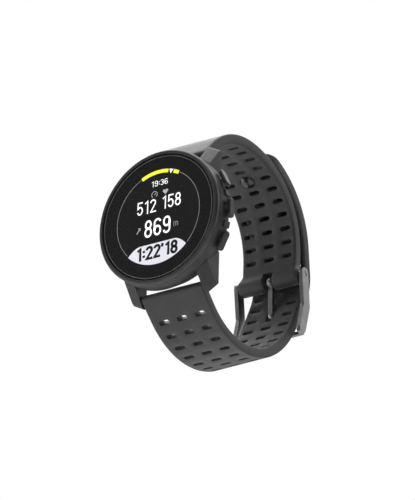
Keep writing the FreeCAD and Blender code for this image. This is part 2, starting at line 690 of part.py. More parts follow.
def side_trim(name, start_y, end_y):
    """Two wedges that narrow a strap half from its root width to its tail width."""
    wedges = []
    root, tail = amount("strap_root_width") / 2, amount("strap_tail_width") / 2
    for side in (-1, 1):
        corners = [Vector(side * root, start_y, -60), Vector(side * tail, end_y, -60),
                   Vector(side * tail, 90, -60), Vector(side * 20, 90, -60),
                   Vector(side * 20, start_y, -60)]
        face = Part.Face(Part.makePolygon(corners + corners[:1]))
        wedges.append(face.extrude(Vector(0, 0, 120)))
    return coded(name, Part.makeCompound(wedges))


def root_eye(name, side):
    """The rolled end of a strap half that holds its spring bar."""
    height = "pivot_height" if side > 0 else "- pivot_height"
    eye = side_cylinder(name + "_root_eye", "root_radius", "0", "strap_root_width",
                        "pivot_depth", height)
    eye.setExpression("Placement.Base.x", bound("0 - strap_root_width") + " / 2")
    hole = side_cylinder(name + "_root_hole", "tube_radius", "- 12", "24", "pivot_depth", height)
    notch = block(name + "_lever_notch", "lever_place - lever_long - 1.2", "pivot_depth - 0.9",
                  height + " - 1.9", "lever_long + lever_long + 0.6", "4", "3.8")
    return eye, fuse(name + "_root_cutters", [hole, notch])


def build_upper_strap():
    route = upper_route()
    strip = band("upper_strip", route, "strap_thick", "strap_root_width")
    eye, root_cutters = root_eye("upper", 1)
    trim = side_trim("upper_trim", amount("pivot_depth - case_depth"),
                     amount("taper_end - case_depth"))
    slots = coded("upper_slots", Part.makeCompound(strap_slots(
        route, amount("upper_first_row"), amount("upper_row_pitch"),
        int(amount("upper_rows")))))
    bar_y, bar_z, heading = route.at(route.length())
    knuckle = coded("knuckle", Part.makeCylinder(
        amount("knuckle_radius"), 2 * amount("knuckle_half"),
        Vector(-amount("knuckle_half"), bar_y, bar_z), Vector(1, 0, 0)))
    bar_hole = coded("buckle_bar_hole", Part.makeCylinder(
        amount("bar_radius"), 40, Vector(-20, bar_y, bar_z), Vector(1, 0, 0)))
    gap = amount("tongue_gap")
    reach = 2 * amount("knuckle_radius") + 2
    tongue_slot = coded("tongue_slot", Part.makeBox(
        gap, reach, reach, Vector(-gap / 2, bar_y - reach / 2, bar_z - reach / 2 - 1)))
    strap = fuse("upper_strap_solid", [cut("upper_tapered", strip, trim), eye, knuckle])
    cutters = fuse("upper_strap_cutters", [root_cutters, bar_hole, tongue_slot])
    piece("upper_strap", cut("upper_strap_holes", cut("upper_strap_bores", strap, cutters), slots))


def build_lower_strap():
    route = lower_route()
    strip = band("lower_strip", route, "strap_thick", "strap_root_width")
    eye, root_cutters = root_eye("lower", -1)
    trim = side_trim("lower_trim", amount("pivot_depth - case_depth"),
                     amount("taper_end - case_depth"))
    tail_half = amount("strap_tail_width") / 2
    shave = coded("tail_trim", Part.makeCompound([
        Part.makeBox(8, 60, 60, Vector(x, 20, 0)) for x in (tail_half, -tail_half - 8)]))
    first, pitch = amount("lower_first_row"), amount("lower_row_pitch")
    tongue_row = int(amount("tongue_row")) - 1
    slots = strap_slots(route, first, pitch, int(amount("lower_rows")),
                        special=((tongue_row, 0.0),))
    slots.append(slot_tool(amount("tongue_hole_long"), amount("tongue_hole_wide"), route,
                           first + tongue_row * pitch + amount("tongue_hole_shift"), 0.0,
                           turned=90.0))
    slots.append(stud_shape())
    strap = fuse("lower_strap_solid", [cut("lower_shaved", cut("lower_tapered", strip, trim),
                                           shave), eye])
    piece("lower_strap", cut("lower_strap_holes", cut("lower_strap_bores", strap, root_cutters),
                             coded("lower_slots", Part.makeCompound(slots))))


def stud_shape():
    """The metal stud in the strap's tip: it snaps through a hole of the other half."""
    route = lower_route()
    y, z, heading = route.at(amount("stud_place"))
    inward = Vector(0, -math.sin(heading), math.cos(heading))
    thick = amount("strap_thick")
    start = Vector(0, y, z) - inward * (thick / 2 - 0.6)
    reach = 2 * thick + amount("stud_gap") - 0.6
    neck = Part.makeCylinder(amount("stud_neck"), reach, start, inward)
    foot = Part.makeCylinder(amount("stud_head") - 0.3, 0.45, start, inward)
    base = start + inward * reach
    dome_radius = (amount("stud_head") ** 2 + amount("stud_dome") ** 2) / 2 / amount("stud_dome")
    centre = base - inward * (dome_radius - amount("stud_dome"))
    dome = Part.makeSphere(dome_radius, centre)
    half_space = Part.makeCylinder(10, 20, base, inward)
    head = dome.common(half_space)
    return neck.multiFuse([foot, head]).removeSplitter()


def buckle_axis():
    """The buckle bar's place: the far end of the upper half of the strap."""
    route = upper_route()
    bar_y, bar_z, heading = route.at(route.length())
    return bar_y, bar_z


def arm_route():
    """A buckle arm's middle line, from a little above the bar down to the crossbar."""
    bar_y, bar_z = buckle_axis()
    heading = math.radians(amount("arm_heading"))
    over = amount("arm_over")
    return (Route(bar_y - over * math.cos(heading), bar_z - over * math.sin(heading),
                  amount("arm_heading"))
            .line(over + amount("arm_top_run"))
            .arc(amount("arm_bend_radius"), -amount("arm_bend_turn"))
            .line(amount("arm_low_run")))


def build_buckle():
    route = arm_route()
    bar_y, bar_z = buckle_axis()
    end_y, end_z, heading = route.at(route.length())
    both = doc.addObject("PartDesign::Body", "arm_body")
    half = amount("arm_half_width")
    sketch = add_sketch(both, "arm_profile", "YZ_Plane")
    left, right = route.side(half), route.side(-half)
    tops, ends = route.at(0), route.at(route.length())
    caps = []
    for (y, z, along), way, near, far in ((tops, -1, right[0].StartPoint, left[0].StartPoint),
                                          (ends, 1, left[-1].EndPoint, right[-1].EndPoint)):
        reach = half * way
        crown = Vector(y + reach * math.cos(along), z + reach * math.sin(along), 0)
        caps.append(Part.Arc(near, crown, far))
    sketch.addGeometry(left + right + caps)
    for index in range(len(left) + len(right) + 2):
        sketch.addConstraint(Sketcher.Constraint("Block", index))
    pad(both, sketch, "arm_inner + arm_inner + arm_thick + arm_thick", both_ways=True)
    space = block("arm_space", "- arm_inner", "0", "- 60", "arm_inner + arm_inner", "80", "80")
    bar_holes = coded("arm_bar_holes", Part.makeCylinder(
        amount("bar_radius") + 0.04, 40, Vector(-20, bar_y, bar_z), Vector(1, 0, 0)))
    arms = cut("arms", both, fuse("arm_cutters", [space, bar_holes]))
    crossbar = coded("crossbar", Part.makeCylinder(
        amount("crossbar_radius"), 2 * amount("arm_inner") + 1,
        Vector(-amount("arm_inner") - 0.5, end_y + amount("crossbar_out"),
               end_z - amount("crossbar_drop")), Vector(1, 0, 0)))
    piece("buckle_frame", fuse("frame_all", [arms, crossbar]))
    piece("buckle_bar", coded("bar", Part.makeCylinder(
        amount("bar_radius"), 2 * amount("bar_half"),
        Vector(-amount("bar_half"), bar_y, bar_z), Vector(1, 0, 0))))
    tongue = (Route(bar_y, bar_z, amount("tongue_heading")).line(amount("tongue_top_run"))
              .arc(amount("tongue_top_radius"), amount("tongue_top_turn"))
              .line(amount("tongue_mid_run"))
              .arc(amount("tongue_low_radius"), -amount("tongue_low_turn"))
              .line(amount("tongue_low_run")))
    strip = band("tongue_strip", tongue, "tongue_thick", "tongue_width")
    width = amount("tongue_width")
    eye = coded("tongue_eye", Part.makeCylinder(
        amount("tongue_eye"), width, Vector(-width / 2, bar_y, bar_z), Vector(1, 0, 0)))
    hole = coded("tongue_hole", Part.makeCylinder(
        amount("bar_radius") + 0.05, 10, Vector(-5, bar_y, bar_z), Vector(1, 0, 0)))
    piece("buckle_tongue", cut("tongue", fuse("tongue_solid", [strip, eye]), hole))


def check_and_write():
    doc.recompute()
    failed = [item.Name for item in doc.Objects if set(item.State) & {"Invalid", "Error"}]
    if failed:
        raise SystemExit("failed objects: " + ", ".join(failed))
    os.makedirs("parts", exist_ok=True)
    for name, item in made.items():
        shape = item.Shape
        if shape.isNull() or not shape.isValid():
            raise SystemExit(name + " has no valid shape")
        print("%-22s %3d solids %9.2f mm3" % (name, len(shape.Solids), shape.Volume))
        shape.exportStep("parts/%s.step" % name)


build_case()
build_front()
build_inside()
build_back()
for button, place in BUTTONS:
    build_button(button, place)
for end, place in ENDS:
    build_spring_bar(end, place)
build_upper_strap()
build_lower_strap()
piece("tail_stud", coded("stud", stud_shape()))
build_buckle()
check_and_write()
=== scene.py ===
import bmesh
import bpy
import json
import math
from mathutils import Matrix, Vector


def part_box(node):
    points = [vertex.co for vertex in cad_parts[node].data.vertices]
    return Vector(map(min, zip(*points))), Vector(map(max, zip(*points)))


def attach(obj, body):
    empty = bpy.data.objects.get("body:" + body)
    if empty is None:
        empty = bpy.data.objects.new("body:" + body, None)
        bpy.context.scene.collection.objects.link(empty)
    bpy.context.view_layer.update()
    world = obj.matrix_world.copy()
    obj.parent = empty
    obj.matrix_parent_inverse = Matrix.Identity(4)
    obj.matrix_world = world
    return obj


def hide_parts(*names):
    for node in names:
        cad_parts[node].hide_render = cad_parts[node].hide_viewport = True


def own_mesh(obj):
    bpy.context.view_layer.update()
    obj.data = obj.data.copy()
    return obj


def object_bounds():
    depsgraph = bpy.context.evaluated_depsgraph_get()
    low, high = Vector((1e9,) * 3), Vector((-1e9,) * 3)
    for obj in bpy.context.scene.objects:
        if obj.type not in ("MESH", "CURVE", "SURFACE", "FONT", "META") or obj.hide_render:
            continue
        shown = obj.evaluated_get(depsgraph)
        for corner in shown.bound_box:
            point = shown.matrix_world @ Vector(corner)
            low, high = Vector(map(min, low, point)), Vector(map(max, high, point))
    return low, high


# A GPS running watch: +X to 3 o'clock, -Y out of the display, +Z to 12 o'clock. Sizes below are in
# millimetres, apart from the lights, the floor and the noises; MM turns them into metres.

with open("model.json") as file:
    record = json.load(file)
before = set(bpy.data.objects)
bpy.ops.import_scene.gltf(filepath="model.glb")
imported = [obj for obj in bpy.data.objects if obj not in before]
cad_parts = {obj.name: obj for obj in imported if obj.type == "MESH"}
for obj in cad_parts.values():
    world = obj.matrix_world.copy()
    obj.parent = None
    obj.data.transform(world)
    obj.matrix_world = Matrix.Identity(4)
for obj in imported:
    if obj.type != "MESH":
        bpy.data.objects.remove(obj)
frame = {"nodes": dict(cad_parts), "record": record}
cad_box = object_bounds()
MM = 0.001
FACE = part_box("bezel_ring")[0].y / MM          # the plane of the bezel's front


# ---------------------------------------------------------------- materials

def node(tree, kind, **settings):
    """A new node with its settings."""
    item = tree.nodes.new(kind)
    for key, value in settings.items():
        setattr(item, key, value)
    return item


def noise(tree, scale, detail, stretch=None):
    """A noise in the frame's metres; scale is in lumps per metre."""
    place = node(tree, "ShaderNodeTexCoord")
    source = place.outputs["Object"]
    if stretch:
        mapping = node(tree, "ShaderNodeMapping")
        mapping.inputs["Scale"].default_value = stretch
        tree.links.new(source, mapping.inputs["Vector"])
        source = mapping.outputs["Vector"]
    texture = node(tree, "ShaderNodeTexNoise")
    texture.inputs["Scale"].default_value = scale
    texture.inputs["Detail"].default_value = detail
    texture.inputs["Roughness"].default_value = 0.55
    tree.links.new(source, texture.inputs["Vector"])
    return texture.outputs["Fac"]


def ranged(tree, value, low, high, start=0.3, end=0.7):
    """Maps a value from the range start to end to the range low to high."""
    item = node(tree, "ShaderNodeMapRange")
    item.inputs["From Min"].default_value = start
    item.inputs["From Max"].default_value = end
    item.inputs["To Min"].default_value = low
    item.inputs["To Max"].default_value = high
    tree.links.new(value, item.inputs["Value"])
    return item.outputs["Result"]


def blend_colour(tree, factor, first, second):
    """Mixes two colours by a factor."""
    item = node(tree, "ShaderNodeMix", data_type="RGBA")
    item.inputs["A"].default_value = (*first, 1.0)
    item.inputs["B"].default_value = (*second, 1.0)
    tree.links.new(factor, item.inputs["Factor"])
    return item.outputs["Result"]


def finish(name, colour, roughness, *, vary=0.18, rough_vary=0.08, grain=9000.0, bump=0.02,
           cloud=260.0, stretch=None, metallic=0.0, coat=0.0, coat_roughness=0.1, sheen=0.0,
           specular=0.5, alpha=1.0, glow=None, strength=0.0, edge_lightening=0.0):
    """A material whose colour, roughness and fine relief vary over the surface.

    Colour varies in clouds by the share vary, and roughness in grains by rough_vary. Bump is the
    depth of the relief, glow is light of the surface's own, and the last argument is how much
    lighter the sharp edges are painted.
    """
    material = bpy.data.materials.new(name)
    material.use_nodes = True
    tree = material.node_tree
    shader = next(n for n in tree.nodes if n.type == "BSDF_PRINCIPLED")
    inputs = shader.inputs
    clouds = noise(tree, cloud, 3.0)
    grains = noise(tree, grain, 2.0, stretch)
    dark = tuple(c * (1 - vary) for c in colour)
    light = tuple(min(1.0, c * (1 + vary)) for c in colour)
    tone = blend_colour(tree, ranged(tree, clouds, 0.0, 1.0), dark, light)
    # sharp edges are painted lighter, by how pointed they are
    if edge_lightening:
        edge = node(tree, "ShaderNodeNewGeometry").outputs["Pointiness"]
        edge_lightening_mask = ranged(tree, edge, 0.0, 1.0, 0.52, 0.62)
        over = node(tree, "ShaderNodeMix", data_type="RGBA")
        tree.links.new(edge_lightening_mask, over.inputs["Factor"])
        tree.links.new(tone, over.inputs["A"])
        over.inputs["B"].default_value = (*(min(1.0, c * (1 + edge_lightening)) for c in colour), 1.0)
        tone = over.outputs["Result"]
    tree.links.new(tone, inputs["Base Color"])
    tree.links.new(ranged(tree, grains, max(0.0, roughness - rough_vary),
                          min(1.0, roughness + rough_vary)), inputs["Roughness"])
    if bump:
        relief = node(tree, "ShaderNodeBump")
        relief.inputs["Strength"].default_value = 0.6
        relief.inputs["Distance"].default_value = bump * MM
        tree.links.new(grains, relief.inputs["Height"])
        tree.links.new(relief.outputs["Normal"], inputs["Normal"])
    inputs["Metallic"].default_value = metallic
    inputs["Coat Weight"].default_value = coat
    inputs["Coat Roughness"].default_value = coat_roughness
    inputs["Sheen Weight"].default_value = sheen
    inputs["Specular IOR Level"].default_value = specular
    inputs["Alpha"].default_value = alpha
    if glow:
        inputs["Emission Color"].default_value = (*glow, 1.0)
        inputs["Emission Strength"].default_value = strength
    return material


LOOKS = {
    "case_body": finish("matt_case", (0.024, 0.024, 0.025), 0.46, grain=14000, bump=0.012,
                        specular=0.45, edge_lightening=0.35),
    "bezel": finish("satin_bezel", (0.045, 0.045, 0.047), 0.34, grain=16000, bump=0.006,
                    metallic=0.35, edge_lightening=0.4),
    "crystal_glass": finish("crystal", (0.004, 0.004, 0.005), 0.05, vary=0.05, rough_vary=0.02,
                            grain=500, bump=0.0, coat=1.0, coat_roughness=0.03, alpha=0.26),
    "gasket": finish("black_gasket", (0.003, 0.003, 0.003), 0.8, bump=0.02, specular=0.15),
    "display": finish("display_glass", (0.013, 0.013, 0.015), 0.35, vary=0.3, grain=3000,
                      bump=0.001, cloud=40),
    "light_guide": finish("acrylic", (0.75, 0.78, 0.76), 0.12, rough_vary=0.05, bump=0.001,
                          coat=0.5),
    "inner_plastic": finish("filled_plastic", (0.03, 0.03, 0.032), 0.55, grain=5000, bump=0.03),
    "circuit_board": finish("solder_mask", (0.012, 0.09, 0.04), 0.3, vary=0.3, grain=3000,
                            bump=0.02, coat=0.4),
    "shield_metal": finish("tinned_can", (0.62, 0.62, 0.63), 0.3, metallic=1.0, grain=5000,
                           bump=0.01, stretch=(1, 1, 12)),
    "battery_pouch": finish("foil_pouch", (0.55, 0.56, 0.58), 0.36, metallic=1.0, grain=1200,
                            bump=0.05),
    "antenna_metal": finish("plated_strip", (0.72, 0.45, 0.22), 0.28, metallic=1.0, bump=0.006),
    "steel": finish("plain_steel", (0.5, 0.5, 0.51), 0.24, metallic=1.0, grain=6000, bump=0.006,
                    stretch=(6, 1, 1), rough_vary=0.07),
    "gold_contact": finish("gold_plate", (0.86, 0.58, 0.24), 0.2, metallic=1.0, bump=0.004),
    "sensor_window": finish("tinted_window", (0.006, 0.006, 0.008), 0.07, rough_vary=0.03,
                            bump=0.001, coat=1.0, coat_roughness=0.03, alpha=0.72),
    "lamp": finish("lamp_body", (0.55, 0.75, 0.5), 0.2, bump=0.002, coat=0.6),
    "case_back_metal": finish("turned_back", (0.035, 0.035, 0.037), 0.4, grain=7000, bump=0.008,
                              metallic=0.5, edge_lightening=0.3),
    "button_metal": finish("satin_button", (0.032, 0.032, 0.034), 0.38, grain=15000, bump=0.006,
                           metallic=0.3, edge_lightening=0.4),
    "strap_silicone": finish("silicone", (0.034, 0.034, 0.035), 0.52, vary=0.12, grain=11000,
                             bump=0.02, sheen=0.12, specular=0.42),
    "buckle_metal": finish("satin_buckle", (0.23, 0.23, 0.235), 0.3, grain=9000, bump=0.006,
                           metallic=0.85, stretch=(1, 1, 6), edge_lightening=0.2),
}
STUD_LOOK = finish("dark_stud", (0.07, 0.07, 0.075), 0.25, metallic=0.9, grain=6000, bump=0.006)
SLOT_OF = {part["node"]: part["material_slot"] for part in frame["record"]["subparts"]}

for name, item in frame["nodes"].items():
    look = STUD_LOOK if name == "tail_stud" else LOOKS[SLOT_OF[name]]
    if not item.material_slots:
        item.data.materials.append(look)
    for place in item.material_slots:
        place.link = "OBJECT"
        place.material = look


def soften(name, width):
    """Eases a CAD node's sharp edges by a hair, as any moulded or machined edge is."""
    item = frame["nodes"][name]
    weld = item.modifiers.new("weld", "WELD")
    weld.merge_threshold = 1e-6
    bevel = item.modifiers.new("ease", "BEVEL")
    bevel.width = width * MM
    bevel.segments = 2
    bevel.limit_method = "ANGLE"
    bevel.angle_limit = math.radians(32.0)
    bevel.use_clamp_overlap = True
    bevel.harden_normals = True


for name, width in (("mid_case", 0.18), ("case_back", 0.1), ("buckle_frame", 0.28),
                    ("buckle_tongue", 0.22), ("bezel_ring", 0.1)):
    soften(name, width)


# ---------------------------------------------------------------- helpers

def add_mesh(name, points, faces, look, body, smooth=True):
    """A piece that rides on a body, from points in millimetres."""
    mesh = bpy.data.meshes.new(name)
    mesh.from_pydata([Vector(p) * MM for p in points], [], faces)
    mesh.validate()
    work = bmesh.new()
    work.from_mesh(mesh)
    bmesh.ops.recalc_face_normals(work, faces=work.faces)
    work.to_mesh(mesh)
    work.free()
    for face in mesh.polygons:
        face.use_smooth = smooth
    mesh.materials.append(look)
    item = bpy.data.objects.new(name, mesh)
    bpy.context.scene.collection.objects.link(item)
    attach(item, body)
    return item


class Route:
    """A path in the YZ plane of straight runs and tangent arcs; headings turn from +Y to +Z."""

    def __init__(self, y, z, heading):
        self.start = (y, z, math.radians(heading))
        self.spans = []

    def line(self, length):
        """Adds a straight run."""
        self.spans.append((length, 0.0))
        return self

    def arc(self, radius, turn):
        """Adds a tangent arc; turn is in degrees."""
        self.spans.append((radius * abs(math.radians(turn)), math.radians(turn)))
        return self

    def length(self):
        """The whole length of the path."""
        return sum(length for length, turn in self.spans)

    def at(self, distance, offset=0.0):
        """The y and z of a point that lies offset to the left of the path."""
        y, z, heading = self.start
        for index, (length, turn) in enumerate(self.spans):
            step = distance if index == len(self.spans) - 1 else min(distance, length)
            if turn:
                radius = length / turn
                ahead = heading + step / radius
                y += radius * (math.sin(ahead) - math.sin(heading))
                z += radius * (math.cos(heading) - math.cos(ahead))
                heading = ahead
            else:
                y += step * math.cos(heading)
                z += step * math.sin(heading)
            distance -= step
            if distance <= 0:
                break
        return y - offset * math.sin(heading), z + offset * math.cos(heading)


# ---------------------------------------------------------------- strap

PIVOT_Y, PIVOT_Z = FACE + 9.4, 21.4            # the axis of a spring bar
THICK = 1.5                                    # half the strap's thickness
ROOT_HALF, TAIL_HALF = 11.0, 9.6               # half the width at the case and at the tail
TAPER_END = 47.2                               # the y where the tail's width is reached
TAPERED = 60                                   # further along than this it stays so above z = 0
SLOT_HALF, SLOT_END, COLUMN = 1.8, 0.7, 6.45   # a slot's half length, end radius, spacing
TALL_HALF, TALL_END, TALL_SHIFT = 2.6, 1.35, 0.85    # the same of the tongue's hole, its shift
BAR_KNUCKLE, KNUCKLE_HALF = 2.6, 10.5          # the knuckles' radius and their outer half width
KNUCKLE_RUN = 3.4                              # how far from the bar the strap starts to swell
KNUCKLE_WIDENS, KNUCKLE_SWELLS = 2.2, 1.6      # the length it widens over, its swell's exponent
TIP, TIP_EASE = 4.0, 0.9                       # the tip's corner radius and its edge's rounding
LEVER_FROM, LEVER_TO = 4.4, 8.6                # x of the notch for the release lever

upper_way = (Route(PIVOT_Y, PIVOT_Z, 44.3).line(6.6).arc(24.6, -44.3).arc(31.3, -31.8)
             .arc(22.8, -42.5).arc(28.0, -16.1).line(6.8))
lower_way = (Route(PIVOT_Y, -PIVOT_Z, -44.3).line(6.6).arc(24.6, 44.3).arc(27.7, 32.7)
             .arc(32.8, 33.3).line(10.7).arc(14.8, 32.0).line(8.3).arc(27.1, 50.0)
             .arc(32.0, 14.0))


def taper(way, place):
    """Half the width of the strap, which narrows from the case to its tail."""
    y, z = way.at(place)
    share = min(1.0, max(0.0, (y - PIVOT_Y) / (TAPER_END - PIVOT_Y)))
    tapered = z > 0 and place > TAPERED
    return TAIL_HALF if tapered else ROOT_HALF - (ROOT_HALF - TAIL_HALF) * share


CROSS = (0.0, 0.55, 1.1, 2.1, 3.225, 4.35, 5.35, 5.9, 6.45, 7.0, 7.55)   # x of the mesh's lines
FLAT = CROSS[-1] + 1.45                        # on a narrower strip the lines move in
CELL = 8                                       # one slot lies among this many gaps of the lines
MIDDLE = 12                                    # the number of the line at x = 0
GAP_LINE = 3                                   # the line that becomes the gap's edge
EDGE_EASE, RIM_EASE = 0.55, 0.13               # roundings of the strap's edges and slot rims
NOTCH_HALF, NOTCH_EASE = 1.65, 0.35            # the tongue's gap between the knuckles
BULGE, SIDE_BULGE = 1.37, 0.5                  # how far the tongue's cell bulges: middle, sides
SAME = 1e-6                                    # lengths this close are equal


def eased(radius, steps=4):
    """(how far a rounding still has to go, how far it has dropped) from the face to the wall."""
    turns = [math.radians(90 * k / steps) for k in range(steps + 1)]
    return [(radius * (1 - math.sin(turn)), radius * (1 - math.cos(turn))) for turn in turns]


class StrapHalf:
    """One half of the strap: rows of slots in a strip that follows a route.

    A spot is (distance along the route, x, height above the middle of the strip). A side is 1 for
    the outer face and -1 for the inner face; a hand is 1 for +X and -1 for -X.
    """

    def __init__(self, way, half_at, deep_at, notch_from=None):
        self.way, self.half_at, self.deep_at = way, half_at, deep_at
        self.notch_from = notch_from
        self.points, self.faces, self.known = [], [], {}

    def point(self, spot):
        """The number of the mesh's point at a spot."""
        s, x, height = spot
        y, z = self.way.at(s, height)
        key = (round(x, 3), round(y, 3), round(z, 3))
        if key not in self.known:
            self.known[key] = len(self.points)
            self.points.append((x, y, z))
        return self.known[key]

    def face(self, *spots):
        """One face, without the corners that fall together."""
        corners = []
        for spot in spots:
            index = self.point(spot)
            if index not in corners:
                corners.append(index)
        if len(corners) > 2:
            self.faces.append(corners)

    def strip(self, first, second):
        """Faces between two rows of spots."""
        for number in range(len(first) - 1):
            self.face(first[number], first[number + 1], second[number + 1], second[number])

    def ease(self, s):
        """The rounding of the long edges, which is less where the strip is thin."""
        return min(EDGE_EASE, 0.98 * self.deep_at(s))

    def lines(self, s, opened=False):
        """x of the mesh's lines across the strip, all inside the rounded edges."""
        edge = self.half_at(s) - self.ease(s)
        scale = min(1.0, edge / FLAT)
        right = [x * scale for x in CROSS]
        if opened:
            right[GAP_LINE] = NOTCH_HALF + min(NOTCH_EASE, 0.98 * self.deep_at(s))
        right += [(right[-1] + edge) / 2, edge]
        return [-x for x in right[:0:-1]] + right

    def across(self, s, side, opened=False, shifts=None):
        """A row of spots across a face; shifts move some of its lines along the strip."""
        height = side * self.deep_at(s)
        return [(s + (shifts or {}).get(number, 0.0), x, height)
                for number, x in enumerate(self.lines(s, opened))]

    def sides(self, marks):
        """The rounded long edges and the walls between them, at the given distances."""
        for hand in (-1, 1):
            walls = []
            for side in (1, -1):
                rows = []
                for s in marks:
                    deep = self.deep_at(s)
                    rows.append([(s, hand * (self.half_at(s) - left), side * (deep - drop))
                                 for left, drop in eased(self.ease(s))])
                for first, second in zip(rows, rows[1:]):
                    self.strip(first, second)
                walls.append([row[-1] for row in rows])
            self.strip(*walls)

    def plain(self, start, end):
        """A stretch with no slots, from one station to the next."""
        opened, opened_end = (self.notch_from is not None and s >= self.notch_from - SAME
                              for s in (start, end))
        for side in (1, -1):
            first = self.across(start, side, opened)
            second = self.across(end, side, opened_end)
            if opened:
                self.strip(first[:MIDDLE - GAP_LINE + 1], second[:MIDDLE - GAP_LINE + 1])
                self.strip(first[MIDDLE + GAP_LINE:], second[MIDDLE + GAP_LINE:])
            else:
                self.strip(first, second)
        self.sides([start, end])
        if opened:
            self.notch_walls(start, end)

    def cap(self, s):
        """Closes the end of the strip."""
        self.strip(self.across(s, 1), self.across(s, -1))
        for hand in (-1, 1):
            outer = [(s, hand * (self.half_at(s) - left), self.deep_at(s) - drop)
                     for left, drop in eased(self.ease(s))]
            self.face(*outer, *[(s, x, -height) for _, x, height in outer[::-1]])

    def notch_profile(self, s, hand):
        """The rounded side of the tongue's gap, from the outer face to the inner face."""
        deep = self.deep_at(s)
        steps = eased(min(NOTCH_EASE, 0.98 * deep))
        outer = [(s, hand * (NOTCH_HALF + left), deep - drop) for left, drop in steps]
        return outer + [(s, x, -height) for s, x, height in outer[::-1]]

    def notch_walls(self, start, end):
        """The walls of the tongue's gap, and its floor where it begins."""
        for hand in (-1, 1):
            self.strip(self.notch_profile(start, hand), self.notch_profile(end, hand))
        if abs(start - self.notch_from) < SAME:
            top, floor = (self.across(start, side, True)[MIDDLE - GAP_LINE:MIDDLE + GAP_LINE + 1]
                          for side in (1, -1))
            self.face(*top, *self.notch_profile(start, 1)[1:-1], *floor[::-1],
                      *self.notch_profile(start, -1)[-2:0:-1])

    def hole(self, number, start, end, outline, shifts, end_shifts):
        """One cell of a row: a hole with rounded rims inside four of the mesh's lines."""
        rims = []
        for side in (1, -1):
            cell = slice(CELL * number, CELL * number + CELL + 1)
            low = self.across(start, side, shifts=shifts)[cell]
            high = self.across(end, side, shifts=end_shifts)[cell]
            right, left = [], []
            for share in (0.25, 0.5, 0.75):
                s = start + share * (end - start)
                line = self.lines(s)
                height = side * self.deep_at(s)
                right.append((s, line[CELL * number + CELL], height))
                left.insert(0, (s, line[CELL * number], height))
            around = low + right + high[::-1] + left
            loops = [around]
            for left_over, drop in eased(RIM_EASE, 2):
                loops.append([(s, x, side * (self.deep_at(s) - drop))
                              for s, x in outline(left_over)])
            for outer, inner in zip(loops, loops[1:]):
                self.strip(outer + outer[:1], inner + inner[:1])
            rims.append(loops[-1] + loops[-1][:1])
        self.strip(*rims)

    def row(self, middle, start, end, tall=False, shifts=None, end_shifts=None):
        """A row of three slots; the middle one may be the taller hole for the tongue."""
        for number, column in enumerate((-COLUMN, 0.0, COLUMN)):
            if tall and number == 1:
                outline = tall_outline(middle)
            else:
                outline = slot_outline(middle, column)
            self.hole(number, start, end, outline, shifts, end_shifts)
        self.sides([start + share * (end - start) for share in (0, 0.25, 0.5, 0.75, 1)])


TURN = 22.5                                    # degrees between the points of a round end
HALFWAY = (-0.5, 0, 0.5)                       # the points of a straight side between its ends


def slot_outline(middle, column):
    """Points round a slot that lies across the strap, in step with the points of its cell."""
    straight = SLOT_HALF - SLOT_END
    turns = [(225 + TURN * k, -1) for k in range(3)] + [(270, share) for share in HALFWAY]
    turns += [(270 + TURN * k, 1) for k in range(9)] + [(90, -share) for share in HALFWAY]
    turns += [(90 + TURN * k, -1) for k in range(6)]

    def grown(by):
        """The outline, wider by a little on all sides."""
        return [(middle + (SLOT_END + by) * math.sin(math.radians(turn)),
                 column + share * straight + (SLOT_END + by) * math.cos(math.radians(turn)))
                for turn, share in turns]
    return grown


def tall_outline(middle):
    """Points round the hole for the tongue, which lies along the strap, in the same order."""
    straight = TALL_HALF - TALL_END
    turns = [(180 + TURN * k, -1) for k in range(9)] + [(0, share) for share in HALFWAY]
    turns += [(TURN * k, 1) for k in range(9)] + [(180, -share) for share in HALFWAY]

    def grown(by):
        """The outline, wider by a little on all sides."""
        return [(middle + TALL_SHIFT + share * straight
                 + (TALL_END + by) * math.sin(math.radians(turn)),
                 (TALL_END + by) * math.cos(math.radians(turn))) for turn, share in turns]
    return grown


def strap_half(way, half_at, deep_at, before, first, pitch, rows, after, notch_from=None,
               tall_row=None):
    """A strap half from its root's stations, its rows of slots and its end's stations."""
    half = StrapHalf(way, half_at, deep_at, notch_from)
    bounds = [first + (number - 0.5) * pitch for number in range(rows + 1)]
    stations = list(before) + [bounds[0]]
    for start, end in zip(stations, stations[1:]):
        half.plain(start, end)
    # the tongue's hole is long, so its cell bulges into the next row
    stretched = {number: BULGE if abs(number - MIDDLE) <= GAP_LINE else SIDE_BULGE
                 for number in range(CELL, 2 * CELL + 1)}
    for number in range(rows):
        half.row(first + number * pitch, bounds[number], bounds[number + 1],
                 tall=number == tall_row,
                 shifts=stretched if tall_row is not None and number == tall_row + 1 else None,
                 end_shifts=stretched if number == tall_row else None)
    stations = [bounds[-1]] + list(after)
    for start, end in zip(stations, stations[1:]):
        half.plain(start, end)
    if notch_from is None:
        half.cap(stations[-1])
    return half


def carve(item, cutter):
    """Cuts one object out of another and removes it."""
    cut = item.modifiers.new("cut", "BOOLEAN")
    cut.object, cut.operation, cut.solver = cutter, "DIFFERENCE", "EXACT"
    graph = bpy.context.evaluated_depsgraph_get()
    mesh = bpy.data.meshes.new_from_object(item.evaluated_get(graph))
    item.modifiers.clear()
    item.data = mesh
    bpy.data.objects.remove(cutter)


def box_cutter(name, low, high):
    """A block with rounded edges, from its lowest and highest corners."""
    mesh = bpy.data.meshes.new(name)
    work = bmesh.new()
    bmesh.ops.create_cube(work, size=1.0)
    low, high = Vector(low) * MM, Vector(high) * MM
    for vert in work.verts:
        vert.co = Vector((low[k] + (vert.co[k] + 0.5) * (high[k] - low[k]) for k in range(3)))
    bmesh.ops.bevel(work, geom=work.edges[:], offset=0.4 * MM, segments=3, profile=0.5,
                    affect="EDGES")
    work.to_mesh(mesh)
    work.free()
    item = bpy.data.objects.new(name, mesh)
    bpy.context.scene.collection.objects.link(item)
    return item


